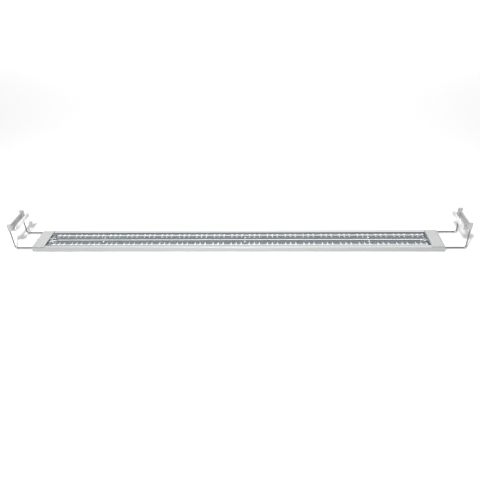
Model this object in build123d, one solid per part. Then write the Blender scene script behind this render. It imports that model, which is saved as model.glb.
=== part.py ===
from build123d import *
import os

# Aquarium lamp: a flat aluminium rail with two LED boards under a clear cover, and a wire bracket with a
# glass clip that slides out of each end. It lies on its back with its light side up.
# Origin: centre of the flat back. X runs along the lamp, Y across it, Z up. Millimetres.

# ---- rail ----
BODY_LENGTH = 1127.0
BODY_WIDTH = 90.0
RAIL_HEIGHT = 13.0
OUTER_WALL = 1.5
INNER_WALL = 1.5
BACK_SKIN = 1.4
TOP_SKIN = 0.8
SIDE_CHANNEL_WIDTH = 8.0
FLOOR_THICKNESS = 1.2
CENTRE_WEB = 3.0
RIB_WIDTH = 4.5
RIB_HEIGHT = 1.6
RIB_FROM_BOARD_END = 14.0
LIP_OVERHANG = 1.2
EDGE_ROUND = 0.6

# ---- end caps ----
CAP_LENGTH = 34.0
CAP_RISE = 2.0
CAP_INSET = 4.0
CAP_ROUND = 0.8
CAP_SLOPE_LENGTH = 4.0
CAP_SLOPE_DROP = 1.6
CAP_END_WALL = 9.9
CAP_POCKET_SIDE_WALL = 3.0
CAP_SCREW_RADIUS = 1.5
CAP_SCREW_HEAD_RADIUS = 2.8
CAP_SCREW_LENGTH = 7.0
CAP_SCREW_FROM_WIRE = 6.5
CAP_SCREW_INSET = 17.0

# ---- boards, LEDs and cover ----
LEDS_PER_GROUP = 3
GROUP_PITCH = 50.0
LED_PITCH = 13.85
LED_SIZE = 5.0
LED_HEIGHT = 1.6
LED_FROM_BOARD_EDGE = 6.8
ROW_SHIFT = 4.0
FRONT_ROW_SHIFT = 2.3
BOARD_THICKNESS = 1.2
BOARD_TO_RIB = 1.5
BOARD_TO_SEAL = 0.5
TAPE_THICKNESS = 0.3
TAPE_MARGIN = 1.5
RESISTOR_LENGTH = 3.2
RESISTOR_WIDTH = 1.6
RESISTOR_HEIGHT = 0.6
RESISTOR_FROM_LED = 8.7
BOARD_SCREW_POSITIONS = (-370.0, 30.0, 370.0)
BOARD_SCREW_FROM_EDGE = 5.5
BOARD_SCREW_HEAD_RADIUS = 2.75
BOARD_SCREW_HEAD_HEIGHT = 1.6
BOARD_SCREW_RADIUS = 1.25
BOARD_SCREW_LENGTH = 3.4
SOCKET_RADIUS = 0.9
SOCKET_DEPTH = 0.9
COVER_THICKNESS = 0.8
CHAMBER_DEPTH = 3.3
SEAL_WIDTH = 2.4

# ---- inlet and leads ----
INLET_FLANGE_RADIUS = 5.4
INLET_FLANGE_THICKNESS = 1.5
INLET_BARREL_RADIUS = 3.6
INLET_BARREL_LENGTH = 18.0
INLET_BORE_RADIUS = 2.8
INLET_BORE_DEPTH = 10.0
INLET_PIN_RADIUS = 1.0
INLET_PIN_SHORTFALL = 1.5
INLET_PIN_ROOT = 3.0
INLET_NUT_RADIUS = 4.6
INLET_NUT_THICKNESS = 2.5
INLET_NUT_ROOM = 0.2
LEAD_RADIUS = 0.8
LEAD_SPACING = 3.6
LEAD_BEND_RADIUS = 3.0
LEAD_OVERLAP = 5.0
LINK_RADIUS = 0.6
LINK_FROM_EDGE = 1.8
LINK_REACH = 5.0
LINK_INSET = 4.5
LINK_BEND_RADIUS = 2.5

# ---- brackets ----
WIRE_RADIUS = 1.9
WIRE_HEADROOM = 0.2
WIRE_BEND_RADIUS = 6.0
LEFT_REACH = 49.0
RIGHT_REACH = 53.0
EXTEND_TRAVEL = 50.0
HOOK_END_GAP = 2.2
HOOK_BEND_RADIUS = 3.2
HOOK_MARGIN = 4.0
GROMMET_WALL = 0.6
GROMMET_LENGTH = 8.0

# ---- clips ----
SLEEVE_WALL = 1.2
SLEEVE_BOTTOM = 67.0
SLEEVE_TOP = 84.6
SLEEVE_CAP = 3.0
SLEEVE_ROUND = 1.0
CLIP_WALL = 5.0
CLIP_WALL_DIP = 1.5
CLIP_EAR_LENGTH = 9.0
ARCH_SHOULDER = 22.0
ARCH_HEIGHT = 1.5
WEB_THICKNESS = 2.5
JAW_THICKNESS = 2.5
JAW_DROP = 0.8
JAW_TOP = 80.2
JAW_OVERHANG = 1.4
JAW_ROUND = 5.0
GLASS_GAP = 9.0
PAD_THICKNESS = 1.25
PAD_LENGTH = 12.0
PAD_MARGIN = 1.5
PAD_END_GAP = 4.0

# ---- clearances ----
FIT = 0.1
RUNNING = 0.05
PRESS = 0.03

# ---- derived places ----
HALF_LENGTH = BODY_LENGTH / 2
HALF_WIDTH = BODY_WIDTH / 2
CHANNEL_OUTER = HALF_WIDTH - OUTER_WALL
CHANNEL_INNER = CHANNEL_OUTER - SIDE_CHANNEL_WIDTH
TROUGH_HALF = CHANNEL_INNER - INNER_WALL
TOP_UNDERSIDE = RAIL_HEIGHT - TOP_SKIN
WINDOW_HALF_LENGTH = HALF_LENGTH - CAP_LENGTH
WINDOW_HALF_WIDTH = TROUGH_HALF - LIP_OVERHANG
CAP_HALF_WIDTH = HALF_WIDTH - CAP_INSET
CAP_TOP = RAIL_HEIGHT + CAP_RISE
COVER_TOP = TOP_UNDERSIDE - FIT
COVER_BOTTOM = COVER_TOP - COVER_THICKNESS
FLOOR_TOP = COVER_BOTTOM - CHAMBER_DEPTH
GROUPS = int(2 * WINDOW_HALF_LENGTH // GROUP_PITCH)
BOARD_LENGTH = GROUPS * GROUP_PITCH
BOARD_BOTTOM = FLOOR_TOP + TAPE_THICKNESS
BOARD_TOP = BOARD_BOTTOM + BOARD_THICKNESS
BOARD_INNER_Y = RIB_WIDTH / 2 + BOARD_TO_RIB
BOARD_OUTER_Y = TROUGH_HALF - FIT - SEAL_WIDTH - BOARD_TO_SEAL
LED_ROW_Y = BOARD_OUTER_Y - LED_FROM_BOARD_EDGE
RESISTOR_ROW_Y = LED_ROW_Y - RESISTOR_FROM_LED
BOARD_SCREW_Y = BOARD_INNER_Y + BOARD_SCREW_FROM_EDGE
INLET_HEIGHT = (BACK_SKIN + CAP_TOP) / 2
WIRE_Y = (CHANNEL_OUTER + CHANNEL_INNER) / 2
WIRE_HEIGHT = TOP_UNDERSIDE - WIRE_HEADROOM - WIRE_RADIUS
CAP_SCREW_Y = WIRE_Y - CAP_SCREW_FROM_WIRE
CAP_POCKET_HALF_WIDTH = CAP_SCREW_Y - CAP_POCKET_SIDE_WALL
CAP_POCKET_HALF_HEIGHT = INLET_NUT_RADIUS + INLET_NUT_ROOM
CAP_POCKET_DEPTH = CAP_LENGTH - FIT - CAP_END_WALL
GROMMET_RADIUS = WIRE_RADIUS + GROMMET_WALL
SLEEVE_HALF = WIRE_RADIUS + SLEEVE_WALL
WEB_TOP = SLEEVE_BOTTOM + WEB_THICKNESS
CLIP_HALF_LENGTH = WIRE_Y + SLEEVE_HALF
EAR_INNER_Y = CLIP_HALF_LENGTH - CLIP_EAR_LENGTH
ARCH_HALF_SPAN = CLIP_HALF_LENGTH - ARCH_SHOULDER


def block(x, y, z):
    """A box from its limits, given as a (low, high) pair along each axis."""
    size = [high - low for low, high in (x, y, z)]
    centre = [(high + low) / 2 for low, high in (x, y, z)]
    return Pos(*centre) * Box(*size)


def rod(start, radius, length, direction):
    """A cylinder that starts at a point and runs along a direction."""
    return Plane(origin=start, z_dir=direction) * Cylinder(
        radius, length, align=(Align.CENTER, Align.CENTER, Align.MIN)
    )


def both_sides(y_low, y_high):
    """The two mirrored Y ranges, front first."""
    return (-y_high, -y_low), (y_low, y_high)


def bent_wire(points, bend_radii, radius):
    """A round wire along straight runs joined by arcs."""
    path = FilletPolyline(*points, radius=bend_radii)
    section = Plane(origin=path @ 0, z_dir=path % 0) * Circle(radius)
    return sweep(section, path=path)


def separate(solids):
    """Several like pieces kept as separate solids in one node."""
    return Compound(children=[part.solid() for part in solids])


def write(name, part):
    export_step(part, f"parts/{name}.step")


def led_positions(row_y):
    """X of each LED. The front row stands a little further right than the rear one."""
    start = ROW_SHIFT + (FRONT_ROW_SHIFT if row_y < 0 else 0)
    middle = (GROUPS - 1) / 2
    offset = (LEDS_PER_GROUP - 1) / 2
    return [
        start + (group - middle) * GROUP_PITCH + (led - offset) * LED_PITCH
        for group in range(GROUPS)
        for led in range(LEDS_PER_GROUP)
    ]


def cap_screw_places(side):
    x = side * (HALF_LENGTH - CAP_SCREW_INSET)
    return [(x, y) for y in (-CAP_SCREW_Y, CAP_SCREW_Y)]


def cap_screw(x, y, clearance):
    """Countersunk screw, head flush with the back, pointing up. A clearance turns it into its own hole."""
    head_depth = CAP_SCREW_HEAD_RADIUS - CAP_SCREW_RADIUS
    cone = Cone(
        CAP_SCREW_HEAD_RADIUS + clearance,
        CAP_SCREW_RADIUS + clearance,
        head_depth,
        align=(Align.CENTER, Align.CENTER, Align.MIN),
    )
    shank = Pos(0, 0, head_depth) * Cylinder(
        CAP_SCREW_RADIUS + clearance,
        CAP_SCREW_LENGTH - head_depth + clearance,
        align=(Align.CENTER, Align.CENTER, Align.MIN),
    )
    return Pos(x, y, 0) * (cone + shank)


def make_rail():
    full = (-HALF_LENGTH, HALF_LENGTH)
    rail = block(full, (-HALF_WIDTH, HALF_WIDTH), (0, RAIL_HEIGHT))
    rail = fillet(rail.edges().filter_by(Axis.X), EDGE_ROUND)
    for y in both_sides(CHANNEL_INNER, CHANNEL_OUTER):
        rail -= block(full, y, (BACK_SKIN, TOP_UNDERSIDE))
    for y in both_sides(CENTRE_WEB / 2, TROUGH_HALF):
        rail -= block(full, y, (BACK_SKIN, FLOOR_TOP - FLOOR_THICKNESS))
    rail -= block(full, (-TROUGH_HALF, TROUGH_HALF), (FLOOR_TOP, TOP_UNDERSIDE))
    rail -= block(full, (-WINDOW_HALF_WIDTH, WINDOW_HALF_WIDTH), (TOP_UNDERSIDE, RAIL_HEIGHT))
    start, end = board_span()
    rail += block(
        (start + RIB_FROM_BOARD_END, end - RIB_FROM_BOARD_END),
        (-RIB_WIDTH / 2, RIB_WIDTH / 2),
        (FLOOR_TOP, FLOOR_TOP + RIB_HEIGHT),
    )
    for side in (-1, 1):
        end = sorted((side * WINDOW_HALF_LENGTH, side * HALF_LENGTH))
        rail -= block(end, (-CHANNEL_OUTER, CHANNEL_OUTER), (BACK_SKIN, TOP_UNDERSIDE))
        rail -= block(end, (-CAP_HALF_WIDTH, CAP_HALF_WIDTH), (TOP_UNDERSIDE, RAIL_HEIGHT))
        for x, y in cap_screw_places(side):
            rail -= cap_screw(x, y, RUNNING)
    for x in BOARD_SCREW_POSITIONS:
        for y in (-BOARD_SCREW_Y, BOARD_SCREW_Y):
            rail -= rod((x, y, BACK_SKIN), BOARD_SCREW_RADIUS + RUNNING, FLOOR_TOP, (0, 0, 1))
    return rail


def make_end_cap(side):
    """Moulded end cap: a block that fills the rail's end, with a proud top that slopes at its outer edge."""
    inner = WINDOW_HALF_LENGTH + FIT
    lower = block(
        (inner, HALF_LENGTH), (-CHANNEL_OUTER + FIT, CHANNEL_OUTER - FIT), (BACK_SKIN, TOP_UNDERSIDE - FIT)
    )
    upper = block(
        (inner, HALF_LENGTH), (-CAP_HALF_WIDTH + FIT, CAP_HALF_WIDTH - FIT), (TOP_UNDERSIDE - FIT, CAP_TOP)
    )
    slope = Plane.XZ * Polygon(
        (HALF_LENGTH - CAP_SLOPE_LENGTH, CAP_TOP),
        (HALF_LENGTH, CAP_TOP),
        (HALF_LENGTH, CAP_TOP - CAP_SLOPE_DROP),
        align=None,
    )
    upper -= extrude(slope, CAP_HALF_WIDTH, both=True)
    upper = fillet(upper.edges().group_by(Axis.Z)[-1], CAP_ROUND)
    cap = lower + upper
    cap -= block(
        (inner, inner + CAP_POCKET_DEPTH),
        (-CAP_POCKET_HALF_WIDTH, CAP_POCKET_HALF_WIDTH),
        (INLET_HEIGHT - CAP_POCKET_HALF_HEIGHT, INLET_HEIGHT + CAP_POCKET_HALF_HEIGHT),
    )
    for y in (-WIRE_Y, WIRE_Y):
        cap -= rod((inner, y, WIRE_HEIGHT), WIRE_RADIUS + RUNNING, CAP_LENGTH, (1, 0, 0))
        cap -= rod((inner, y, WIRE_HEIGHT), GROMMET_RADIUS + PRESS, GROMMET_LENGTH, (1, 0, 0))
    if side < 0:
        cap = mirror(cap, about=Plane.YZ)
        cap -= rod((-HALF_LENGTH, 0, INLET_HEIGHT), INLET_BARREL_RADIUS + PRESS, CAP_LENGTH, (1, 0, 0))
    for x, y in cap_screw_places(side):
        cap -= cap_screw(x, y, PRESS)
    return cap


def make_grommets(side):
    """Rubber sleeves that grip the two wires inside an end cap."""
    start = side * (WINDOW_HALF_LENGTH + FIT)
    sleeves = []
    for y in (-WIRE_Y, WIRE_Y):
        origin = (start, y, WIRE_HEIGHT)
        sleeve = rod(origin, GROMMET_RADIUS, GROMMET_LENGTH, (side, 0, 0))
        sleeves.append(sleeve - rod(origin, WIRE_RADIUS + RUNNING, GROMMET_LENGTH, (side, 0, 0)))
    return separate(sleeves)


def board_span():
    return (ROW_SHIFT - BOARD_LENGTH / 2, ROW_SHIFT + BOARD_LENGTH / 2)


def make_board(side):
    """Glass-fibre circuit board with clearance holes for its screws."""
    y = sorted((side * BOARD_INNER_Y, side * BOARD_OUTER_Y))
    board = block(board_span(), y, (BOARD_BOTTOM, BOARD_TOP))
    for x in BOARD_SCREW_POSITIONS:
        board -= rod((x, side * BOARD_SCREW_Y, FLOOR_TOP), BOARD_SCREW_RADIUS + RUNNING, BOARD_TOP, (0, 0, 1))
    return board


def make_tape(side):
    """Thermal tape between a board and the rail, cut away round the screws."""
    y = sorted((side * (BOARD_INNER_Y + TAPE_MARGIN), side * (BOARD_OUTER_Y - TAPE_MARGIN)))
    tape = block(board_span(), y, (FLOOR_TOP, BOARD_BOTTOM))
    for x in BOARD_SCREW_POSITIONS:
        tape -= rod((x, side * BOARD_SCREW_Y, FLOOR_TOP), BOARD_SCREW_RADIUS + FIT, TAPE_THICKNESS, (0, 0, 1))
    return tape


def make_row(row_y, length, width, height):
    """One small part beside or at each LED place, standing on the board."""
    ends, sides = length / 2, width / 2
    return separate(
        block((x - ends, x + ends), (row_y - sides, row_y + sides), (BOARD_TOP, BOARD_TOP + height))
        for x in led_positions(row_y)
    )


def make_board_screws():
    """Pan-head screws with a socket in the head."""
    screws = []
    for x in BOARD_SCREW_POSITIONS:
        for y in (-BOARD_SCREW_Y, BOARD_SCREW_Y):
            head = rod((x, y, BOARD_TOP), BOARD_SCREW_HEAD_RADIUS, BOARD_SCREW_HEAD_HEIGHT, (0, 0, 1))
            head = fillet(head.edges().group_by(Axis.Z)[-1], BOARD_SCREW_HEAD_HEIGHT / 2)
            head -= rod((x, y, BOARD_TOP + BOARD_SCREW_HEAD_HEIGHT), SOCKET_RADIUS, SOCKET_DEPTH, (0, 0, -1))
            screws.append(head + rod((x, y, BOARD_TOP), BOARD_SCREW_RADIUS, BOARD_SCREW_LENGTH, (0, 0, -1)))
    return separate(screws)


def make_cover():
    """Clear acrylic strip, held under the rail's lips."""
    half = WINDOW_HALF_LENGTH
    width = TROUGH_HALF - FIT
    return block((-half, half), (-width, width), (COVER_BOTTOM, COVER_TOP))


def make_seal(side):
    """Silicone strip under one long edge of the cover."""
    outer = TROUGH_HALF - FIT
    y = sorted((side * (outer - SEAL_WIDTH), side * outer))
    return block((-WINDOW_HALF_LENGTH, WINDOW_HALF_LENGTH), y, (FLOOR_TOP, COVER_BOTTOM))


def make_inlet():
    """Low-voltage socket in the left end cap: flange outside, threaded barrel inside."""
    face = (-HALF_LENGTH - INLET_FLANGE_THICKNESS, 0, INLET_HEIGHT)
    root = (-HALF_LENGTH, 0, INLET_HEIGHT)
    inlet = rod(face, INLET_FLANGE_RADIUS, INLET_FLANGE_THICKNESS, (1, 0, 0))
    inlet = fillet(inlet.edges().group_by(Axis.X)[0], CAP_ROUND)
    inlet += rod(root, INLET_BARREL_RADIUS, INLET_BARREL_LENGTH, (1, 0, 0))
    inlet -= rod(face, INLET_BORE_RADIUS, INLET_BORE_DEPTH, (1, 0, 0))
    inlet -= inlet_pin(PRESS)
    return inlet


def inlet_pin(clearance):
    """Centre contact of the socket."""
    tip = (-HALF_LENGTH - INLET_FLANGE_THICKNESS + INLET_PIN_SHORTFALL, 0, INLET_HEIGHT)
    length = INLET_BORE_DEPTH - INLET_PIN_SHORTFALL + INLET_PIN_ROOT
    return rod(tip, INLET_PIN_RADIUS + clearance, length, (1, 0, 0))


def make_inlet_nut():
    """Ring nut that holds the socket against the inside of the end cap."""
    wall_inside = -(WINDOW_HALF_LENGTH + FIT + CAP_POCKET_DEPTH)
    origin = (wall_inside, 0, INLET_HEIGHT)
    nut = rod(origin, INLET_NUT_RADIUS, INLET_NUT_THICKNESS, (1, 0, 0))
    return nut - rod(origin, INLET_BARREL_RADIUS + PRESS, INLET_NUT_THICKNESS, (1, 0, 0))


def make_lead(side):
    """Insulated lead from the back of the socket to the left end of a board."""
    start_x = -HALF_LENGTH + INLET_BARREL_LENGTH
    board_x = board_span()[0]
    y = side * LEAD_SPACING / 2
    board_y = side * BOARD_SCREW_Y
    height = BOARD_TOP + LEAD_RADIUS + FIT
    points = [
        (start_x, y, INLET_HEIGHT),
        (start_x + 2 * LEAD_BEND_RADIUS, y, INLET_HEIGHT),
        (board_x - LEAD_BEND_RADIUS, board_y, height),
        (board_x + LEAD_OVERLAP, board_y, height),
    ]
    return bent_wire(points, LEAD_BEND_RADIUS, LEAD_RADIUS)


def make_link_wire():
    """Wire that joins the two boards at the right end."""
    x = board_span()[1] - LINK_INSET
    y = BOARD_INNER_Y + LINK_FROM_EDGE
    z = BOARD_TOP + LINK_RADIUS + FIT
    points = [(x - LINK_REACH, -y, z), (x, -y, z), (x, y, z), (x - LINK_REACH, y, z)]
    return bent_wire(points, LINK_BEND_RADIUS, LINK_RADIUS)


def make_wire(riser_x, y):
    """Stainless wire of the right bracket: a stop hook inside the rail, a long leg and a riser."""
    hook_x = WINDOW_HALF_LENGTH - EXTEND_TRAVEL - HOOK_MARGIN
    points = [
        (hook_x, y, BACK_SKIN + HOOK_END_GAP),
        (hook_x, y, WIRE_HEIGHT),
        (riser_x, y, WIRE_HEIGHT),
        (riser_x, y, SLEEVE_TOP - SLEEVE_CAP - FIT),
    ]
    return bent_wire(points, [HOOK_BEND_RADIUS, WIRE_BEND_RADIUS], WIRE_RADIUS)


def clip_places(riser_x):
    """X of the clip wall's inboard face and of the jaw's face towards it."""
    wall_inner = riser_x - SLEEVE_HALF - CLIP_WALL
    return wall_inner, wall_inner - GLASS_GAP - 2 * PAD_THICKNESS


def make_clip(riser_x):
    """Moulded clip of the right bracket: two sleeves, an arched wall and a web at each end of the slot."""
    wall_inner, jaw_face = clip_places(riser_x)
    wall_outer = wall_inner + CLIP_WALL
    clip = block((wall_inner, wall_outer), (-CLIP_HALF_LENGTH, CLIP_HALF_LENGTH), (SLEEVE_BOTTOM, SLEEVE_TOP))
    dip = (SLEEVE_TOP - CLIP_WALL_DIP, SLEEVE_TOP)
    clip -= block((wall_inner, wall_outer), (-EAR_INNER_Y, EAR_INNER_Y), dip)
    arch = Plane.YZ.offset(wall_inner) * Ellipse(ARCH_HALF_SPAN, ARCH_HEIGHT)
    clip -= Pos(0, 0, SLEEVE_BOTTOM) * extrude(arch, CLIP_WALL)
    for y in both_sides(ARCH_HALF_SPAN, CLIP_HALF_LENGTH):
        clip += block((jaw_face, wall_inner), y, (SLEEVE_BOTTOM, WEB_TOP))
    for y in both_sides(WIRE_Y - SLEEVE_HALF, CLIP_HALF_LENGTH):
        sleeve = block((wall_outer - SLEEVE_ROUND, riser_x + SLEEVE_HALF), y, (SLEEVE_BOTTOM, SLEEVE_TOP))
        clip += fillet(sleeve.edges().filter_by(Axis.Z).group_by(Axis.X)[-1], SLEEVE_ROUND)
    for y in (-WIRE_Y, WIRE_Y):
        depth = SLEEVE_TOP - SLEEVE_CAP - SLEEVE_BOTTOM
        clip -= rod((riser_x, y, SLEEVE_BOTTOM), WIRE_RADIUS + PRESS, depth, (0, 0, 1))
    return clip


def make_jaw(riser_x):
    """Clear jaw on the inboard side of the slot, with rounded ends."""
    jaw_face = clip_places(riser_x)[1]
    half = CLIP_HALF_LENGTH + JAW_OVERHANG
    jaw = block((jaw_face - JAW_THICKNESS, jaw_face), (-half, half), (SLEEVE_BOTTOM - JAW_DROP, JAW_TOP))
    return fillet(jaw.edges().filter_by(Axis.X), JAW_ROUND)


def make_pads(riser_x):
    """Rubber pads on both walls of the slot, at each end."""
    wall_inner, jaw_face = clip_places(riser_x)
    y_high = CLIP_HALF_LENGTH - PAD_END_GAP
    faces = [(wall_inner - PAD_THICKNESS, wall_inner), (jaw_face, jaw_face + PAD_THICKNESS)]
    z = (WEB_TOP + FIT, JAW_TOP - PAD_MARGIN)
    return separate(block(x, y, z) for x in faces for y in both_sides(y_high - PAD_LENGTH, y_high))


os.makedirs("parts", exist_ok=True)

write("rail", make_rail())
write("cover", make_cover())
write("board_screws", make_board_screws())
write("dc_inlet", make_inlet())
write("dc_inlet_pin", inlet_pin(0))
write("dc_inlet_nut", make_inlet_nut())
write("link_wire", make_link_wire())

for name, side in (("front", -1), ("rear", 1)):
    write(f"board_{name}", make_board(side))
    write(f"thermal_tape_{name}", make_tape(side))
    write(f"leds_{name}", make_row(side * LED_ROW_Y, LED_SIZE, LED_SIZE, LED_HEIGHT))
    write(
        f"resistors_{name}",
        make_row(side * RESISTOR_ROW_Y, RESISTOR_WIDTH, RESISTOR_LENGTH, RESISTOR_HEIGHT),
    )
    write(f"cover_seal_{name}", make_seal(side))
    write(f"lead_{name}", make_lead(side))

for name, side, reach in (("left", -1, LEFT_REACH), ("right", 1, RIGHT_REACH)):
    riser_x = HALF_LENGTH + reach
    write(f"end_cap_{name}", make_end_cap(side))
    write(f"cap_screws_{name}", separate(cap_screw(x, y, 0) for x, y in cap_screw_places(side)))
    write(f"grommets_{name}", make_grommets(side))
    pieces = {
        "wire_front": make_wire(riser_x, -WIRE_Y),
        "wire_rear": make_wire(riser_x, WIRE_Y),
        "clip": make_clip(riser_x),
        "clip_jaw": make_jaw(riser_x),
        "clip_pads": make_pads(riser_x),
    }
    for piece, part in pieces.items():
        write(f"{piece}_{name}", part if side > 0 else mirror(part, about=Plane.YZ))
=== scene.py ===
import math

import bpy
from mathutils import Matrix, Vector


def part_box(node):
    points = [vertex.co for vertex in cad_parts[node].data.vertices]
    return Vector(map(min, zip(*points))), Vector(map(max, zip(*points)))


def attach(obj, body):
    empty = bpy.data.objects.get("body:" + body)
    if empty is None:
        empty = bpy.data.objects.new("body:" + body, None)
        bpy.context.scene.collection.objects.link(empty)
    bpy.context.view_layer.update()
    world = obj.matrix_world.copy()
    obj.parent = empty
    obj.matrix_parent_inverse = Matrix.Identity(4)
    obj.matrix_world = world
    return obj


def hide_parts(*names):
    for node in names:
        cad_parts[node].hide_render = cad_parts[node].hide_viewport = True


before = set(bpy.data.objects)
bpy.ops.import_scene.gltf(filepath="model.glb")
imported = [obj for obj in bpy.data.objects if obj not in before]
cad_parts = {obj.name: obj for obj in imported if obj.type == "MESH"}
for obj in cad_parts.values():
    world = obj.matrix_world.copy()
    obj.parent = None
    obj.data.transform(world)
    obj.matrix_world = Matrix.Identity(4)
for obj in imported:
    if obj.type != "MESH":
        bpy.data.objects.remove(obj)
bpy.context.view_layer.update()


# ---- Camera ----
# A normal lens stands in front of the lamp, a little to the right of its middle,
# and looks down at it, so the long front face shows as well as the light side.
view_down = math.radians(32.88)
view_turn = math.radians(4.27)
view_roll = math.radians(-2.43)
camera_place = (0.1012, -1.1412, 0.7488)
camera_data = bpy.data.cameras.new("camera")
camera_data.lens = 36.59
camera_data.sensor_width = 36
camera = bpy.data.objects.new("camera", camera_data)
camera.matrix_world = (
    Matrix.Translation(camera_place)
    @ Matrix.Rotation(view_turn, 4, "Z")
    @ Matrix.Rotation(math.pi / 2 - view_down, 4, "X")
    @ Matrix.Rotation(view_roll, 4, "Z")
)
bpy.context.scene.collection.objects.link(camera)
bpy.context.scene.camera = camera


# ---- Floor and light ----
# The lamp lies on a plain white table top in a white room. A key light stands in front,
# a long soft box hangs behind, where the bright top faces mirror it, and a wide panel lights the
# far end of the table.
def new_material(name):
    """An empty node material: the material, its nodes, its links and its main shader."""
    material = bpy.data.materials.new(name)
    material.use_nodes = True
    nodes = material.node_tree.nodes
    return material, nodes, material.node_tree.links, nodes["Principled BSDF"]


def deselect():
    bpy.ops.object.select_all(action="DESELECT")


bpy.context.scene.view_settings.view_transform = "Standard"
world = bpy.data.worlds.new("white_room")
world.use_nodes = True
world.node_tree.nodes["Background"].inputs["Color"].default_value = (1, 1, 1, 1)
world.node_tree.nodes["Background"].inputs["Strength"].default_value = 0.30
bpy.context.scene.world = world

deselect()
bpy.ops.mesh.primitive_plane_add(size=14, location=(0, 0, -0.0004))
floor = bpy.context.object
floor.name = "floor"
material, nodes, links, shader = new_material("table_top")
shader.inputs["Base Color"].default_value = (0.92, 0.92, 0.92, 1)
shader.inputs["Roughness"].default_value = 0.85
shader.inputs["Specular IOR Level"].default_value = 0.1
floor.data.materials.append(material)


def add_area_light(name, place, energy, size, length=None, aimed=True):
    """A disk light, or a rectangle where it has a length. It points at the lamp or hangs level."""
    data = bpy.data.lights.new(name, "AREA")
    data.shape = "RECTANGLE" if length else "DISK"
    data.size = size
    if length:
        data.size_y = length
    data.energy = energy
    light = bpy.data.objects.new(name, data)
    light.location = place
    if aimed:
        light.rotation_euler = light.location.to_track_quat("Z", "Y").to_euler()
    bpy.context.scene.collection.objects.link(light)


add_area_light("key", (-0.14, -1.26, 1.4), energy=52, size=0.22)
add_area_light("far_fill", (0, 5.6, 2.8), energy=312, size=8, length=7, aimed=False)
add_area_light("softbox", (0.1, 1.9, 1.35), energy=3.5, size=3.2, length=1.0)


# ---- Rail ----
# One aluminium extrusion, satin anodised in its own silver colour. It is drawn through a die,
# so very fine lines run along its whole length. The top of its centre rib carries a painted
# highlight, a lighter colour that stands in for the light it reflects.
noise_low = 0.3
noise_high = 0.7


def pattern_at(nodes, links, scale):
    """Object coordinates, stretched by a scale in each direction."""
    place = nodes.new("ShaderNodeTexCoord")
    stretch = nodes.new("ShaderNodeMapping")
    stretch.inputs["Scale"].default_value = scale
    links.new(place.outputs["Object"], stretch.inputs["Vector"])
    return stretch.outputs["Vector"]


def noise(nodes, links, scale, detail=3.0, roughness=0.5):
    """A noise value whose grain has its own size in each direction."""
    grain = nodes.new("ShaderNodeTexNoise")
    grain.inputs["Scale"].default_value = 1.0
    grain.inputs["Detail"].default_value = detail
    grain.inputs["Roughness"].default_value = roughness
    links.new(pattern_at(nodes, links, scale), grain.inputs["Vector"])
    return grain.outputs["Fac"]


def blend_colours(nodes, links, value, stops):
    """A colour that follows a value, from (place, colour) stops."""
    ramp = nodes.new("ShaderNodeValToRGB")
    points = ramp.color_ramp.elements
    while len(points) < len(stops):
        points.new(1.0)
    for point, (place, colour) in zip(points, stops):
        point.position = place
        point.color = (*colour, 1)
    links.new(value, ramp.inputs["Fac"])
    return ramp.outputs["Color"]


def two_tones(nodes, links, value, dark, light):
    """A colour that goes from dark to light over the middle of a noise's range."""
    return blend_colours(nodes, links, value, [(noise_low, dark), (noise_high, light)])


def mix_colours(nodes, links, share, first, second, blend="MIX"):
    """Two colours mixed by a share; each of the three is a node output or a fixed value."""
    mix = nodes.new("ShaderNodeMix")
    mix.data_type = "RGBA"
    mix.blend_type = blend
    for name, value in (("Factor", share), ("A", first), ("B", second)):
        if isinstance(value, bpy.types.NodeSocket):
            links.new(value, mix.inputs[name])
        else:
            mix.inputs[name].default_value = value
    return mix.outputs["Result"]


def object_axes(nodes, links):
    """Object coordinates as separate X, Y and Z outputs."""
    place = nodes.new("ShaderNodeTexCoord")
    axes = nodes.new("ShaderNodeSeparateXYZ")
    links.new(place.outputs["Object"], axes.inputs["Vector"])
    return axes.outputs


def spread(nodes, links, value, low, high):
    """A value stretched from the middle of a noise's range to low and high."""
    reach = nodes.new("ShaderNodeMapRange")
    reach.inputs["From Min"].default_value = noise_low
    reach.inputs["From Max"].default_value = noise_high
    reach.inputs["To Min"].default_value = low
    reach.inputs["To Max"].default_value = high
    links.new(value, reach.inputs["Value"])
    return reach.outputs["Result"]


def raise_surface(nodes, links, shader, value, height, strength=1.0):
    """A bump of a real height in metres."""
    bump = nodes.new("ShaderNodeBump")
    bump.inputs["Strength"].default_value = strength
    bump.inputs["Distance"].default_value = height
    links.new(value, bump.inputs["Height"])
    links.new(bump.outputs["Normal"], shader.inputs["Normal"])


def finish_nodes(material, *names):
    """Gives CAD nodes their finish."""
    for name in names:
        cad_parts[name].material_slots[0].material = material


def calculate(nodes, links, operation, first, second=0.0):
    """One step of arithmetic on a node output and an output or a number."""
    step = nodes.new("ShaderNodeMath")
    step.operation = operation
    links.new(first, step.inputs[0])
    if isinstance(second, (int, float)):
        step.inputs[1].default_value = second
    else:
        links.new(second, step.inputs[1])
    return step.outputs["Value"]


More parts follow.
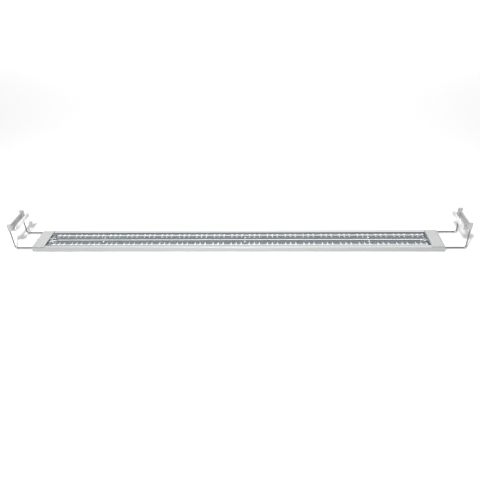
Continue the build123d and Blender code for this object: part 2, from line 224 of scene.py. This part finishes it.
rib_reach = 0.0023
rib_foot = 0.005
# Painted highlight: a lighter colour on the rib's top stands in for its reflection.
painted_rib_highlight_colour = (0.80, 0.80, 0.83, 1)
anodised, nodes, links, shader = new_material("anodised_aluminium")
die_lines = noise(nodes, links, (3, 1700, 1700), detail=4)
tone = two_tones(nodes, links, die_lines, (0.38, 0.385, 0.39), (0.445, 0.45, 0.45))
axes = object_axes(nodes, links)
from_middle = calculate(nodes, links, "ABSOLUTE", axes["Y"])
near_middle = calculate(nodes, links, "LESS_THAN", from_middle, rib_reach)
above_foot = calculate(nodes, links, "GREATER_THAN", axes["Z"], rib_foot)
# Where the painted highlight lies: the top of the centre rib.
rib_highlight_mask = calculate(nodes, links, "MULTIPLY", near_middle, above_foot)
links.new(mix_colours(nodes, links, rib_highlight_mask, tone, painted_rib_highlight_colour), shader.inputs["Base Color"])
links.new(spread(nodes, links, die_lines, 0.34, 0.44), shader.inputs["Roughness"])
shader.inputs["Metallic"].default_value = 0.85
raise_surface(nodes, links, shader, die_lines, 0.00001, 0.5)
finish_nodes(anodised, "rail")


# ---- Thermal tape ----
# White double-sided tape that carries heat, laid on the rail under each board. It is cut from a
# roll of soft filled acrylic, so its face is slightly uneven.
def paint(nodes, links, shader, value, dark, light):
    """Makes a shader's base colour go from dark to light with a noise value."""
    links.new(two_tones(nodes, links, value, dark, light), shader.inputs["Base Color"])


tape, nodes, links, shader = new_material("thermal_tape")
unevenness = noise(nodes, links, (400, 400, 400))
paint(nodes, links, shader, unevenness, (0.72, 0.72, 0.70), (0.82, 0.82, 0.80))
shader.inputs["Roughness"].default_value = 0.8
raise_surface(nodes, links, shader, unevenness, 0.00005)
finish_nodes(tape, "thermal_tape_front", "thermal_tape_rear")


# ---- Boards ----
# Two long circuit boards of glass-fibre laminate under a dark slate mask, with copper tracks that
# stand slightly proud. A pale band under the LEDs throws light out. The board ends are painted
# near-black, painted shade that stands in for the shade beside the end caps.
board_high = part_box("board_front")[1]
track_pitch = 0.0044
track_share = 0.62
leds_low, leds_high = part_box("leds_rear")
led_row_y = (leds_low.y + leds_high.y) / 2
led_band_half = 0.0032
# The last stretch of each board end is painted near-black as painted shade.
painted_shade_end_length = 0.012
painted_shade_colour = (0.015, 0.016, 0.018, 1)
weave_share = 0.15

slate, nodes, links, shader = new_material("board_mask")
axes = object_axes(nodes, links)
across = calculate(nodes, links, "ABSOLUTE", axes["Y"])
track = calculate(nodes, links, "FRACT", calculate(nodes, links, "DIVIDE", across, track_pitch))
on_track = calculate(nodes, links, "LESS_THAN", track, track_share)
clouds = noise(nodes, links, (60, 240, 240), detail=4)
mask_tone = two_tones(nodes, links, clouds, (0.030, 0.040, 0.050), (0.058, 0.072, 0.086))
track_tone = two_tones(nodes, links, clouds, (0.075, 0.092, 0.106), (0.115, 0.136, 0.152))
printed_board = mix_colours(nodes, links, on_track, mask_tone, track_tone)
from_row = calculate(
    nodes, links, "ABSOLUTE", calculate(nodes, links, "SUBTRACT", across, led_row_y)
)
in_band = calculate(nodes, links, "LESS_THAN", from_row, led_band_half)
band_tone = two_tones(nodes, links, clouds, (0.48, 0.50, 0.51), (0.58, 0.60, 0.61))
banded_board = mix_colours(nodes, links, in_band, printed_board, band_tone)
# Painted shade at both board ends.
along = calculate(nodes, links, "ABSOLUTE", axes["X"])
in_painted_end_shade = calculate(nodes, links, "GREATER_THAN", along, board_high.x - painted_shade_end_length)
board_colour = mix_colours(nodes, links, in_painted_end_shade, banded_board, painted_shade_colour)
links.new(board_colour, shader.inputs["Base Color"])
weave = nodes.new("ShaderNodeTexChecker")
weave.inputs["Scale"].default_value = 1.0
links.new(pattern_at(nodes, links, (1400, 1400, 1400)), weave.inputs["Vector"])
weave_relief = calculate(nodes, links, "MULTIPLY", weave.outputs["Fac"], weave_share)
relief = calculate(nodes, links, "ADD", weave_relief, on_track)
raise_surface(nodes, links, shader, relief, 0.00003)
shader.inputs["Roughness"].default_value = 0.38
shader.inputs["Specular IOR Level"].default_value = 0.3
finish_nodes(slate, "board_front", "board_rear")


# ---- LEDs ----
# Sixty-three white LEDs stand in a row on each board, in groups of three. Each is a moulded white
# package with a round cup full of pale phosphor, four tinned feet and one cut corner. Package and
# phosphor carry a faint painted glow that stands in for light.
facing = 0.9
same_height = 0.00002


def place_in_mesh():
    """Puts the selected piece's place into its mesh, so its object sits at the origin."""
    bpy.ops.object.transform_apply(location=True, rotation=True, scale=True)


def add_block(name, low, high):
    """A box between two corners, its place in its mesh."""
    low, high = Vector(low), Vector(high)
    deselect()
    bpy.ops.mesh.primitive_cube_add(size=1, location=(low + high) / 2, scale=high - low)
    block = bpy.context.object
    block.name = name
    place_in_mesh()
    return block


def edit_faces(piece, wanted):
    """Opens a piece in edit mode with the faces for which wanted(face) is true selected."""
    deselect()
    bpy.context.view_layer.objects.active = piece
    piece.select_set(True)
    bpy.ops.object.mode_set(mode="EDIT")
    bpy.ops.mesh.select_mode(type="FACE")
    bpy.ops.mesh.select_all(action="DESELECT")
    bpy.ops.object.mode_set(mode="OBJECT")
    for face in piece.data.polygons:
        face.select = wanted(face)
    bpy.ops.object.mode_set(mode="EDIT")


def leave_edit():
    bpy.ops.object.mode_set(mode="OBJECT")


def apply_modifier(piece, kind, **settings):
    """Adds a modifier, sets it and applies it."""
    deselect()
    bpy.context.view_layer.objects.active = piece
    piece.select_set(True)
    modifier = piece.modifiers.new(kind.lower(), kind)
    for key_name, value in settings.items():
        setattr(modifier, key_name, value)
    bpy.ops.object.modifier_apply(modifier=modifier.name)


def cut_away(piece, tool):
    """Takes a tool's shape out of a piece and removes the tool."""
    apply_modifier(piece, "BOOLEAN", operation="DIFFERENCE", object=tool, solver="EXACT")
    bpy.data.objects.remove(tool)


def join_to(piece, others):
    """Joins other meshes into a piece, which keeps its name."""
    deselect()
    for other in others:
        other.select_set(True)
    piece.select_set(True)
    bpy.context.view_layer.objects.active = piece
    bpy.ops.object.join()
    return piece


def copy_of(piece, name, move):
    """A copy with its own mesh, moved in its mesh."""
    copy = piece.copy()
    copy.data = piece.data.copy()
    copy.name = name
    bpy.context.scene.collection.objects.link(copy)
    copy.data.transform(Matrix.Translation(Vector(move)))
    return copy


moulding, nodes, links, shader = new_material("led_moulding")
moulding_grain = noise(nodes, links, (900, 900, 900))
paint(nodes, links, shader, moulding_grain, (0.64, 0.65, 0.66), (0.72, 0.73, 0.74))
shader.inputs["Roughness"].default_value = 0.45
# A faint painted glow on the package, standing in for light.
shader.inputs["Emission Color"].default_value = (0.93, 0.96, 1.0, 1)
shader.inputs["Emission Strength"].default_value = 0.06

phosphor, nodes, links, shader = new_material("led_phosphor")
phosphor_grain = noise(nodes, links, (2500, 2500, 2500))
paint(nodes, links, shader, phosphor_grain, (0.76, 0.74, 0.60), (0.85, 0.83, 0.72))
shader.inputs["Roughness"].default_value = 0.15
# A faint painted glow on the phosphor, standing in for light.
shader.inputs["Emission Color"].default_value = (0.96, 0.97, 1.0, 1)
shader.inputs["Emission Strength"].default_value = 0.15

tin, nodes, links, shader = new_material("solder_tin")
tin_grain = noise(nodes, links, (1200, 1200, 1200), detail=4)
paint(nodes, links, shader, tin_grain, (0.62, 0.63, 0.64), (0.78, 0.79, 0.80))
links.new(spread(nodes, links, tin_grain, 0.25, 0.42), shader.inputs["Roughness"])
shader.inputs["Metallic"].default_value = 1.0
raise_surface(nodes, links, shader, tin_grain, 0.00002)

leds_per_group = 3
led_pitch = 0.01385
group_pitch = 0.05
row_low, row_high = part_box("leds_front")
led_size = row_high.y - row_low.y
led_groups = round((row_high.x - row_low.x) / group_pitch)
led_middle = Vector((row_low.x + led_size / 2, (row_low.y + row_high.y) / 2, 0))
cup_radius = 0.00195
cup_foot_radius = 0.0015
cup_depth = 0.00035
foot_width = 0.0011
foot_reach = 0.00025
foot_height = 0.0005
foot_spread = 0.0014
corner_cut = 0.0007
corner_slope = (0.6, -0.6, 0.53)


def repeat_along_row(piece):
    """Repeats a piece in groups along a board, as the LEDs stand."""
    for count, pitch in ((leds_per_group, led_pitch), (led_groups, group_pitch)):
        apply_modifier(
            piece, "ARRAY", count=count, use_relative_offset=False,
            use_constant_offset=True, constant_offset_displace=(pitch, 0, 0),
        )


half = Vector((led_size / 2, led_size / 2, 0))
led = add_block(
    "leds_front_detail",
    (*(led_middle - half).xy, row_low.z),
    (*(led_middle + half).xy, row_high.z),
)
edit_faces(led, lambda face: True)
corner = led_middle + Vector((led_size / 2, -led_size / 2, row_high.z))
bpy.ops.mesh.bisect(
    plane_co=corner + Vector((-corner_cut, 0, 0)),
    plane_no=corner_slope,
    use_fill=True,
    clear_outer=True,
)
leave_edit()
deselect()
bpy.ops.mesh.primitive_cone_add(
    vertices=14,
    radius1=cup_foot_radius,
    radius2=2 * cup_radius - cup_foot_radius,
    depth=2 * cup_depth,
    location=(led_middle.x, led_middle.y, row_high.z),
)
cup = bpy.context.object
cup.data.materials.append(phosphor)
led.data.materials.append(moulding)
led.data.materials.append(phosphor)
cut_away(led, cup)
cup_floor = row_high.z - cup_depth
for face in led.data.polygons:
    in_cup = abs(face.center.z - cup_floor) < same_height and face.normal.z > facing
    face.material_index = 1 if in_cup else 0
feet = []
for side in (-1, 1):
    for place_x in (-foot_spread, foot_spread):
        edge = led_middle + Vector((place_x, side * led_size / 2, row_low.z))
        ends = sorted((edge.y - side * foot_reach, edge.y + side * foot_reach))
        foot = add_block(
            "foot",
            (edge.x - foot_width / 2, ends[0], row_low.z),
            (edge.x + foot_width / 2, ends[1], row_low.z + foot_height),
        )
        foot.data.materials.append(tin)
        feet.append(foot)
join_to(led, feet)
repeat_along_row(led)
rear_leds = copy_of(led, "leds_rear_detail", (0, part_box("leds_rear")[0].y - row_low.y, 0))
for row, node in ((led, "leds_front"), (rear_leds, "leds_rear")):
    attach(row, "housing")
    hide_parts(node)


# ---- Dark gap strip ----
# A thin black strip lies in the gap in front of the centre rib and is folded over the
# rib's front edge, so that the gap shows dark.
strip_black, nodes, links, shader = new_material("strip_plastic")
strip_grain = noise(nodes, links, (60, 1500, 1500))
paint(nodes, links, shader, strip_grain, (0.020, 0.021, 0.024), (0.036, 0.038, 0.042))
shader.inputs["Roughness"].default_value = 0.7
shader.inputs["Specular IOR Level"].default_value = 0.15
trough_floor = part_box("thermal_tape_front")[0].z
rib_height = 0.0016
rib_top = trough_floor + rib_height
strip_half_length = 0.508
strip_thickness = 0.00015
strip_lap = 0.0012
strip_clearance = 0.0001
strip_edge = 0.00005
# The strip darkens the gap in front of the rib.
strip = add_block(
    "dark_gap_strip",
    (-strip_half_length, board_high.y + strip_clearance, trough_floor),
    (strip_half_length, -rib_reach, rib_top + strip_thickness),
)
edit_faces(strip, lambda face: face.normal.y > facing)
bpy.ops.mesh.bisect(plane_co=(0, 0, rib_top), plane_no=(0, 0, 1))
leave_edit()
edit_faces(strip, lambda face: face.normal.y > facing and face.center.z > rib_top)
bpy.ops.mesh.extrude_region_move(TRANSFORM_OT_translate={"value": (0, strip_lap, 0)})
leave_edit()
strip.data.materials.append(strip_black)
apply_modifier(strip, "BEVEL", width=strip_edge, segments=2)
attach(strip, "housing")


# ---- Resistors ----
# A chip resistor beside each LED: a ceramic body under a grey glass coat, with tinned ends that
# widen downwards like fillets of solder. It is soldered over a printed pale patch.
coat, nodes, links, shader = new_material("resistor_coat")
coat_grain = noise(nodes, links, (1500, 1500, 1500))
paint(nodes, links, shader, coat_grain, (0.30, 0.31, 0.33), (0.38, 0.39, 0.41))
shader.inputs["Roughness"].default_value = 0.3

row_low, row_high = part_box("resistors_front")
chip_width = 0.0016
chip_end = 0.0009
coat_thickness = 0.00004
end_bulge = (1.15, 1.12, 0.7)
patch_margin = (0.0005, 0.0016)
patch_thickness = 0.00003
chip_x = row_low.x + chip_width / 2

chip = add_block(
    "resistors_front_detail",
    (chip_x - chip_width / 2, row_low.y, row_low.z),
    (chip_x + chip_width / 2, row_high.y, row_high.z),
)
edit_faces(chip, lambda face: True)
for cut_y in (row_low.y + chip_end, row_high.y - chip_end):
    bpy.ops.mesh.select_all(action="SELECT")
    bpy.ops.mesh.bisect(plane_co=(0, cut_y, 0), plane_no=(0, 1, 0))
leave_edit()
chip.data.materials.append(tin)
chip.data.materials.append(coat)
middle_y = (row_low.y + row_high.y) / 2
for face in chip.data.polygons:
    face.material_index = 1 if abs(face.center.y - middle_y) < chip_end else 0
edit_faces(chip, lambda face: face.material_index == 1 and face.normal.z > facing)
bpy.ops.mesh.extrude_region_move(TRANSFORM_OT_translate={"value": (0, 0, coat_thickness)})
leave_edit()
edit_faces(chip, lambda face: abs(face.normal.y) > facing and face.material_index == 0)
bpy.ops.mesh.extrude_region_move(TRANSFORM_OT_translate={"value": (0, 0, 0)})
bpy.ops.transform.resize(value=end_bulge, center_override=(chip_x, middle_y, row_low.z))
leave_edit()
printed, nodes, links, shader = new_material("printed_patch")
print_grain = noise(nodes, links, (1300, 1300, 1300))
paint(nodes, links, shader, print_grain, (0.36, 0.38, 0.39), (0.48, 0.50, 0.51))
shader.inputs["Roughness"].default_value = 0.6
patch_half = chip_width / 2 + patch_margin[0]
patch = add_block(
    "patch",
    (chip_x - patch_half, row_low.y - patch_margin[1], row_low.z),
    (chip_x + patch_half, row_high.y + patch_margin[1], row_low.z + patch_thickness),
)
patch.data.materials.append(printed)
join_to(chip, [patch])
repeat_along_row(chip)
rear_chips = copy_of(
    chip, "resistors_rear_detail", (0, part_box("resistors_rear")[0].y - row_low.y, 0)
)
for row, node in ((chip, "resistors_front"), (rear_chips, "resistors_rear")):
    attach(row, "housing")
    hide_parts(node)


# ---- Board screws ----
# Six pan-head machine screws of bright steel hold the boards down on the rail, one pair at each end
# and one near the middle. Each head is domed and has a cross recess pressed in.
steel, nodes, links, shader = new_material("screw_steel")
steel_grain = noise(nodes, links, (1800, 1800, 1800), detail=4)
paint(nodes, links, shader, steel_grain, (0.70, 0.71, 0.72), (0.84, 0.85, 0.86))
links.new(spread(nodes, links, steel_grain, 0.2, 0.34), shader.inputs["Roughness"])
shader.inputs["Metallic"].default_value = 1.0
raise_surface(nodes, links, shader, steel_grain, 0.00001)


recess_taper = 0.5


def recess_tool(at, length, width, depth, up):
    """A tapered cross that cuts the driver's recess into a head, facing up (1) or down (-1)."""
    arms = []
    for size in ((length, width), (width, length)):
        arm = add_block(
            "arm",
            (at.x - size[0] / 2, at.y - size[1] / 2, at.z - depth),
            (at.x + size[0] / 2, at.y + size[1] / 2, at.z + depth),
        )
        edit_faces(arm, lambda face: face.normal.z * up < -facing)
        bpy.ops.transform.resize(value=(recess_taper, recess_taper, 1))
        leave_edit()
        arms.append(arm)
    apply_modifier(arms[0], "BOOLEAN", operation="UNION", object=arms[1], solver="EXACT")
    bpy.data.objects.remove(arms[1])
    return arms[0]


def smooth(piece, degrees):
    """Shades a piece smooth except at edges sharper than an angle."""
    deselect()
    piece.select_set(True)
    bpy.context.view_layer.objects.active = piece
    bpy.ops.object.shade_smooth_by_angle(angle=math.radians(degrees))


screws_low, screws_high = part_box("board_screws")
screw_head_radius = 0.00275
screw_head_height = 0.0016
screw_shank_radius = 0.00125
screw_rows = (screws_low.y + screw_head_radius, screws_high.y - screw_head_radius)
screw_places_x = (-0.37, 0.03, 0.37)
dome_edge = 0.0011
recess_length = 0.0028
recess_width = 0.0006
recess_depth = 0.0009
head_foot = screws_high.z - screw_head_height

deselect()
bpy.ops.mesh.primitive_cylinder_add(
    vertices=32,
    radius=screw_head_radius,
    depth=screw_head_height,
    location=(screw_places_x[0], screw_rows[0], head_foot + screw_head_height / 2),
)
place_in_mesh()
screw = bpy.context.object
screw.name = "board_screws_detail"
edit_faces(screw, lambda face: face.normal.z > facing)
bpy.ops.mesh.bevel(offset=dome_edge, segments=5, profile=0.5, affect="EDGES")
leave_edit()
recess_place = Vector((screw_places_x[0], screw_rows[0], screws_high.z))
cut_away(screw, recess_tool(recess_place, recess_length, recess_width, recess_depth, 1))
edit_faces(
    screw,
    lambda face: face.normal.z < -facing and abs(face.center.z - head_foot) < same_height,
)
bpy.ops.mesh.inset(thickness=screw_head_radius - screw_shank_radius)
bpy.ops.mesh.extrude_region_move(
    TRANSFORM_OT_translate={"value": (0, 0, screws_low.z - head_foot)}
)
leave_edit()
screw.data.materials.append(steel)
copies = [
    copy_of(screw, "screw", (x - screw_places_x[0], y - screw_rows[0], 0))
    for x in screw_places_x
    for y in screw_rows
    if (x, y) != (screw_places_x[0], screw_rows[0])
]
join_to(screw, copies)
smooth(screw, 30)
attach(screw, "housing")
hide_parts("board_screws")


# ---- Leads and link wire ----
# Stranded copper in thin insulation: two leads come from the socket to the left ends of the boards,
# and a short wire links the boards at the right end. Each end is soldered in a small dome.
insulation, nodes, links, shader = new_material("lead_insulation")
insulation_grain = noise(nodes, links, (700, 700, 700))
paint(nodes, links, shader, insulation_grain, (0.60, 0.61, 0.63), (0.68, 0.69, 0.71))
shader.inputs["Roughness"].default_value = 0.4
finish_nodes(insulation, "lead_front", "lead_rear", "link_wire")

board_top = board_high.z
joint_radius = 0.0015
joint_flare = 1.35
link_radius = 0.0006
lead_end_x = [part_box(f"lead_{side}")[1].x for side in ("front", "rear")]
link_low, link_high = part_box("link_wire")
joint_places = [
    (lead_end_x[0], -screw_rows[1]),
    (lead_end_x[1], screw_rows[1]),
    (link_low.x, link_low.y + link_radius),
    (link_low.x, link_high.y - link_radius),
]
deselect()
bpy.ops.mesh.primitive_uv_sphere_add(
    segments=20, ring_count=12, radius=joint_radius, location=(*joint_places[0], board_top)
)
place_in_mesh()
solder = bpy.context.object
solder.name = "solder_joints"
edit_faces(solder, lambda face: True)
bpy.ops.mesh.bisect(
    plane_co=(0, 0, board_top), plane_no=(0, 0, -1), use_fill=True, clear_outer=True
)
leave_edit()
edit_faces(solder, lambda face: face.normal.z < -facing)
bpy.ops.transform.resize(
    value=(joint_flare, joint_flare, 1), center_override=(*joint_places[0], board_top)
)
leave_edit()
solder.data.materials.append(tin)
copies = [
    copy_of(solder, "joint", (x - joint_places[0][0], y - joint_places[0][1], 0))
    for x, y in joint_places[1:]
]
join_to(solder, copies)
smooth(solder, 50)
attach(solder, "housing")


# ---- Cover ----
# A strip of clear acrylic slid in under the rail's lips. Its face mirrors the room at a low angle,
# and it is very slightly wavy, as extruded sheet is.
glancing_power = 5.0
glancing_mirror = 0.5
straight_mirror = 0.01
clear, nodes, links, shader = new_material("clear_acrylic")
shader.inputs["Base Color"].default_value = (0.9, 0.92, 0.93, 1)
shader.inputs["Roughness"].default_value = 0.05
shader.inputs["IOR"].default_value = 1.49
waviness = noise(nodes, links, (12, 90, 90), detail=1)
raise_surface(nodes, links, shader, waviness, 0.00004, 0.6)
see_through = nodes.new("ShaderNodeBsdfTransparent")
see_through.inputs["Color"].default_value = (0.975, 0.98, 0.982, 1)
turned_away = nodes.new("ShaderNodeLayerWeight")
turned_away.inputs["Blend"].default_value = 0.5
glancing = calculate(nodes, links, "POWER", turned_away.outputs["Facing"], glancing_power)
glancing_share = calculate(nodes, links, "MULTIPLY", glancing, glancing_mirror)
mirror_share = calculate(nodes, links, "ADD", glancing_share, straight_mirror)
both = nodes.new("ShaderNodeMixShader")
links.new(mirror_share, both.inputs["Fac"])
links.new(see_through.outputs["BSDF"], both.inputs[1])
links.new(shader.outputs["BSDF"], both.inputs[2])
links.new(both.outputs["Shader"], nodes["Material Output"].inputs["Surface"])
finish_nodes(clear, "cover")


# ---- Dark beads beside the lips ----
# A flat dark grey bead runs on the cover beside each lip of the rail, so that the cover's edge
# shows dark there. Its surface is faintly uneven along its length.
dark_bead, nodes, links, shader = new_material("dark_bead_finish")
dark_bead_grain = noise(nodes, links, (90, 500, 500))
paint(nodes, links, shader, dark_bead_grain, (0.045, 0.048, 0.052), (0.075, 0.079, 0.084))
shader.inputs["Roughness"].default_value = 0.8
shader.inputs["Specular IOR Level"].default_value = 0.1
raise_surface(nodes, links, shader, dark_bead_grain, 0.00008)
cover_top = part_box("cover")[1].z
window_half_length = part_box("end_cap_right")[0].x
window_half_width = 0.0328
bead_width = 0.0024
bead_height = 0.0006
bead_edge = 0.00025
# The beads make the cover's edge beside each lip show dark.
beads = []
for side in (-1, 1):
    edges = sorted((side * window_half_width, side * (window_half_width - bead_width)))
    bead = add_block(
        "dark_lip_beads",
        (-window_half_length, edges[0], cover_top),
        (window_half_length, edges[1], cover_top + bead_height),
    )
    bead.data.materials.append(dark_bead)
    apply_modifier(bead, "BEVEL", width=bead_edge, segments=3)
    beads.append(bead)
beads = join_to(beads[0], beads[1:])
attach(beads, "housing")


# ---- End caps ----
# Moulded light-grey plastic caps close the rail's ends. Their finish is a fine spark texture with
# darker flecks in it, and their tops stand just proud of the rail.
cap_plastic, nodes, links, shader = new_material("speckled_plastic")
flecks = noise(nodes, links, (400, 400, 400), detail=3, roughness=0.7)
patches = noise(nodes, links, (120, 120, 120))
fleck_stops = [
    (0.38, (0.29, 0.30, 0.295)),
    (0.48, (0.41, 0.42, 0.415)),
    (0.58, (0.50, 0.505, 0.50)),
]
fleck_tone = blend_colours(nodes, links, flecks, fleck_stops)
patch_tone = two_tones(nodes, links, patches, (0.93, 0.95, 0.94), (1.0, 1.0, 1.0))
speckle = mix_colours(nodes, links, 1.0, fleck_tone, patch_tone, blend="MULTIPLY")
links.new(speckle, shader.inputs["Base Color"])
links.new(spread(nodes, links, flecks, 0.45, 0.62), shader.inputs["Roughness"])
raise_surface(nodes, links, shader, noise(nodes, links, (1800, 1800, 1800)), 0.00004, 0.7)
finish_nodes(cap_plastic, "end_cap_left", "end_cap_right")


# ---- End cap screws ----
# Two countersunk steel screws hold each end cap from below. Their heads lie flush with the flat
# back and have a cross recess.
flat_head_radius = 0.0028
flat_shank_radius = 0.0015
flat_head_depth = flat_head_radius - flat_shank_radius
flat_recess_length = 0.003
flat_recess_width = 0.0007
for side in ("left", "right"):
    node = f"cap_screws_{side}"
    low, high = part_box(node)
    first = Vector(((low.x + high.x) / 2, low.y + flat_head_radius, low.z))
    deselect()
    bpy.ops.mesh.primitive_cone_add(
        vertices=32,
        radius1=flat_head_radius,
        radius2=flat_shank_radius,
        depth=flat_head_depth,
        location=first + Vector((0, 0, flat_head_depth / 2)),
    )
    place_in_mesh()
    flat_screw = bpy.context.object
    flat_screw.name = f"{node}_detail"
    edit_faces(flat_screw, lambda face: face.normal.z > facing)
    bpy.ops.mesh.extrude_region_move(
        TRANSFORM_OT_translate={"value": (0, 0, high.z - low.z - flat_head_depth)}
    )
    leave_edit()
    recess = recess_tool(first, flat_recess_length, flat_recess_width, recess_depth, -1)
    cut_away(flat_screw, recess)
    flat_screw.data.materials.append(steel)
    across_lamp = high.y - low.y - 2 * flat_head_radius
    join_to(flat_screw, [copy_of(flat_screw, "screw", (0, across_lamp, 0))])
    smooth(flat_screw, 30)
    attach(flat_screw, "housing")
    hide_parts(node)


# ---- Grommets and cover seals ----
# Black rubber sleeves in the end caps grip the bracket wires, so the brackets stay where they are
# pulled out to. A strip of grey rubber under each edge of the cover keeps the damp out.
rubber, nodes, links, shader = new_material("black_rubber")
rubber_grain = noise(nodes, links, (1000, 1000, 1000))
paint(nodes, links, shader, rubber_grain, (0.018, 0.018, 0.019), (0.035, 0.035, 0.036))
shader.inputs["Roughness"].default_value = 0.75
raise_surface(nodes, links, shader, rubber_grain, 0.00003)
finish_nodes(rubber, "grommets_left", "grommets_right")

grey_rubber, nodes, links, shader = new_material("grey_rubber")
seal_grain = noise(nodes, links, (40, 900, 900))
paint(nodes, links, shader, seal_grain, (0.22, 0.222, 0.225), (0.30, 0.302, 0.305))
shader.inputs["Roughness"].default_value = 0.7
finish_nodes(grey_rubber, "cover_seal_front", "cover_seal_rear")


# ---- Power socket ----
# A black moulded socket in the left end cap takes a round low-voltage plug. It has a brass centre
# pin and a steel ring nut inside the cap.
black_plastic, nodes, links, shader = new_material("black_plastic")
spark_texture = noise(nodes, links, (1600, 1600, 1600))
paint(nodes, links, shader, spark_texture, (0.02, 0.02, 0.021), (0.038, 0.038, 0.04))
links.new(spread(nodes, links, spark_texture, 0.35, 0.5), shader.inputs["Roughness"])
raise_surface(nodes, links, shader, spark_texture, 0.00002)
finish_nodes(black_plastic, "dc_inlet")

brass, nodes, links, shader = new_material("pin_brass")
turning = noise(nodes, links, (2500, 300, 300))
paint(nodes, links, shader, turning, (0.66, 0.47, 0.20), (0.80, 0.61, 0.30))
shader.inputs["Metallic"].default_value = 1.0
shader.inputs["Roughness"].default_value = 0.28
finish_nodes(brass, "dc_inlet_pin")
finish_nodes(steel, "dc_inlet_nut")


# ---- Bracket wires ----
# Stainless wire, drawn and then bent cold. Drawing leaves fine lines along it: along the lamp on
# the legs, and up and down on the risers.
leg_height = 0.014
leg_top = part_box("wire_front_left")[0].z + leg_height
stainless, nodes, links, shader = new_material("drawn_stainless")
leg_lines = noise(nodes, links, (25, 2600, 2600), detail=4)
riser_lines = noise(nodes, links, (2600, 2600, 25), detail=4)
height = object_axes(nodes, links)["Z"]
mix = nodes.new("ShaderNodeMix")
links.new(calculate(nodes, links, "GREATER_THAN", height, leg_top), mix.inputs["Factor"])
links.new(leg_lines, mix.inputs["A"])
links.new(riser_lines, mix.inputs["B"])
drawn_lines = mix.outputs["Result"]
paint(nodes, links, shader, drawn_lines, (0.17, 0.175, 0.18), (0.27, 0.275, 0.28))
links.new(spread(nodes, links, drawn_lines, 0.24, 0.36), shader.inputs["Roughness"])
shader.inputs["Metallic"].default_value = 1.0
raise_surface(nodes, links, shader, drawn_lines, 0.00001)
for side in ("left", "right"):
    finish_nodes(stainless, f"wire_front_{side}", f"wire_rear_{side}")


# ---- Clips ----
# Each clip is moulded in smoke-grey translucent plastic: two sleeves over the riser tops, an arched
# wall between them, and a web at each end of the slot that takes the glass.
smoke, nodes, links, shader = new_material("smoke_plastic")
flow = noise(nodes, links, (70, 70, 70), detail=4)
paint(nodes, links, shader, flow, (0.30, 0.302, 0.305), (0.35, 0.352, 0.355))
links.new(spread(nodes, links, flow, 0.3, 0.4), shader.inputs["Roughness"])
shader.inputs["Alpha"].default_value = 0.97
raise_surface(nodes, links, shader, noise(nodes, links, (900, 900, 900)), 0.00002)


merge_within = 0.000005
clip_edge = 0.0004


def softened_copy(node, edge):
    """A copy of a CAD node with its doubles merged, its flat faces whole and its edges rounded."""
    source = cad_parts[node]
    copy = source.copy()
    copy.data = source.data.copy()
    copy.name = f"{node}_detail"
    for key_name in list(copy.keys()):
        del copy[key_name]
    copy.parent = None
    bpy.context.scene.collection.objects.link(copy)
    edit_faces(copy, lambda face: True)
    bpy.ops.mesh.remove_doubles(threshold=merge_within)
    bpy.ops.mesh.dissolve_limited(angle_limit=math.radians(1))
    leave_edit()
    apply_modifier(
        copy, "BEVEL", width=edge, segments=2, limit_method="ANGLE",
        angle_limit=math.radians(40), harden_normals=False, use_clamp_overlap=True,
    )
    smooth(copy, 35)
    return copy


def set_material(piece, material):
    piece.data.materials.clear()
    piece.data.materials.append(material)


for side in ("left", "right"):
    clip = softened_copy(f"clip_{side}", clip_edge)
    set_material(clip, smoke)
    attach(clip, f"bracket_{side}")
    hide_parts(f"clip_{side}")


# ---- Clip jaws ----
# The inboard side of each slot is a clear moulded bar with rounded ends, so that it hardly shows
# through the tank's glass.
jaw_edge = 0.0005
clear_jaw, nodes, links, shader = new_material("clear_jaw")
jaw_flow = noise(nodes, links, (90, 90, 90))
paint(nodes, links, shader, jaw_flow, (0.74, 0.75, 0.76), (0.84, 0.85, 0.86))
shader.inputs["Roughness"].default_value = 0.12
shader.inputs["Alpha"].default_value = 0.6
for side in ("left", "right"):
    jaw = softened_copy(f"clip_jaw_{side}", jaw_edge)
    set_material(jaw, clear_jaw)
    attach(jaw, f"bracket_{side}")
    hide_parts(f"clip_jaw_{side}")


# ---- Clip pads ----
# Soft silicone pads line both walls of the slot at each end, so that the clip grips the glass
# and doesn't scratch it.
pad_edge = 0.0003
silicone, nodes, links, shader = new_material("milky_silicone")
silicone_grain = noise(nodes, links, (30, 700, 700))
paint(nodes, links, shader, silicone_grain, (0.40, 0.405, 0.41), (0.47, 0.475, 0.48))
shader.inputs["Roughness"].default_value = 0.5
shader.inputs["Subsurface Weight"].default_value = 0.15
shader.inputs["Subsurface Scale"].default_value = 0.001
for side in ("left", "right"):
    pads = softened_copy(f"clip_pads_{side}", pad_edge)
    set_material(pads, silicone)
    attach(pads, f"bracket_{side}")
    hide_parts(f"clip_pads_{side}")
